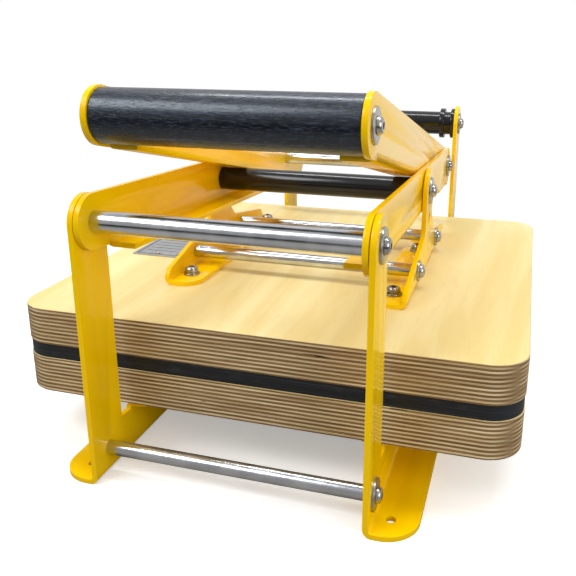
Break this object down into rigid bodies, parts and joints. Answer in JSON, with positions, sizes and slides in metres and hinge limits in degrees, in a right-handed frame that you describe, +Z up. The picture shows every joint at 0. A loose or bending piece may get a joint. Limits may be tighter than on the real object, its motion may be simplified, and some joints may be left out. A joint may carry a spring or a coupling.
{
  "type": "etching press",
  "caption": "Hand-lever printing press: a wooden bed and a level platen faced with rubber, pressed together by flanged steel arms that flip over a rear bar.",
  "frame": {"origin": "on the floor, under the middle of the frame; the centre of the bounding box of the whole press in X and Y", "axes": "+X to the right as seen from the grip side, +Y from the grip side to the rear bar, +Z up"},
  "size_m": [0.352, 0.4374, 0.2574],
  "materials": {
    "yellow_coat": "glossy powder coat",
    "black_coat": "glossy black coat",
    "chrome_bar": "polished",
    "zinc_steel": "satin zinc",
    "birch_ply": "sanded, clear sealed",
    "black_rubber": "matt",
    "stained_wood": "black stain, satin",
    "label_metal": "fine brushed",
    "dark_steel": "plain"
  },
  "bodies": {
    "frame": {"left_side_plate": "yellow_coat", "right_side_plate": "yellow_coat", "lower_board": "birch_ply", "lower_mat": "black_rubber", "bed_screws": "zinc_steel", "front_tie_rod": "chrome_bar", "rear_tie_rod": "chrome_bar", "tie_rod_bolts": "zinc_steel", "tie_rod_washers": "zinc_steel", "front_pivot_shaft": "chrome_bar", "front_pivot_bolts": "zinc_steel", "front_pivot_washers": "zinc_steel", "front_pivot_shims": "zinc_steel", "rear_bar_core": "dark_steel", "rear_bar_sleeve": "black_coat", "left_inner_collar": "black_coat", "right_inner_collar": "black_coat", "left_outer_collar": "black_coat", "right_outer_collar": "black_coat", "rear_bar_bolts": "zinc_steel", "rear_bar_washers": "zinc_steel"},
    "lever": {"left_long_arm": "yellow_coat", "right_long_arm": "yellow_coat", "rear_pivot_rod": "chrome_bar", "rear_pivot_bolts": "zinc_steel", "rear_pivot_washers": "zinc_steel", "rear_pivot_shims": "zinc_steel"},
    "platen": {"upper_board": "birch_ply", "upper_mat": "black_rubber", "left_bracket": "yellow_coat", "right_bracket": "yellow_coat", "bracket_flat_washers": "zinc_steel", "bracket_lock_washers": "zinc_steel", "bracket_screws": "zinc_steel", "board_inserts": "zinc_steel", "bracket_front_rod": "chrome_bar", "bracket_rear_rod": "chrome_bar", "bracket_rod_bolts": "zinc_steel", "bracket_rod_washers": "zinc_steel", "centre_bar_core": "dark_steel", "centre_bar_sleeve": "black_coat", "centre_pivot_bolts": "zinc_steel", "centre_pivot_washers": "zinc_steel", "centre_pivot_shims": "zinc_steel", "label_plate": "label_metal", "label_rivets": "zinc_steel"},
    "handle": {"left_handle_arm": "yellow_coat", "right_handle_arm": "yellow_coat", "handle_grip": "stained_wood", "handle_bolts": "zinc_steel", "handle_washers": "zinc_steel"}
  },
  "joints": [
    {"name": "handle_hinge", "type": "hinge", "parent": "lever", "child": "handle", "pos_m": [0, 0.15754, 0.15844], "axis": [-1, 0, 0], "range_deg": [0, 171.5]},
    {"name": "lever_hinge", "type": "hinge", "parent": "frame", "child": "lever", "pos_m": [0, -0.201, 0.1765], "axis": [1, 0, 0], "range_deg": [0, 10]},
    {"name": "platen_hinge", "type": "hinge", "parent": "lever", "child": "platen", "pos_m": [0, -0.00445, 0.1666], "axis": [1, 0, 0], "range_deg": [-10, 0]}
  ],
  "couplings": [
    {"joint": "lever_hinge", "follows": "handle_hinge", "ratio": 0.0583},
    {"joint": "platen_hinge", "follows": "handle_hinge", "ratio": -0.0583}
  ]
}
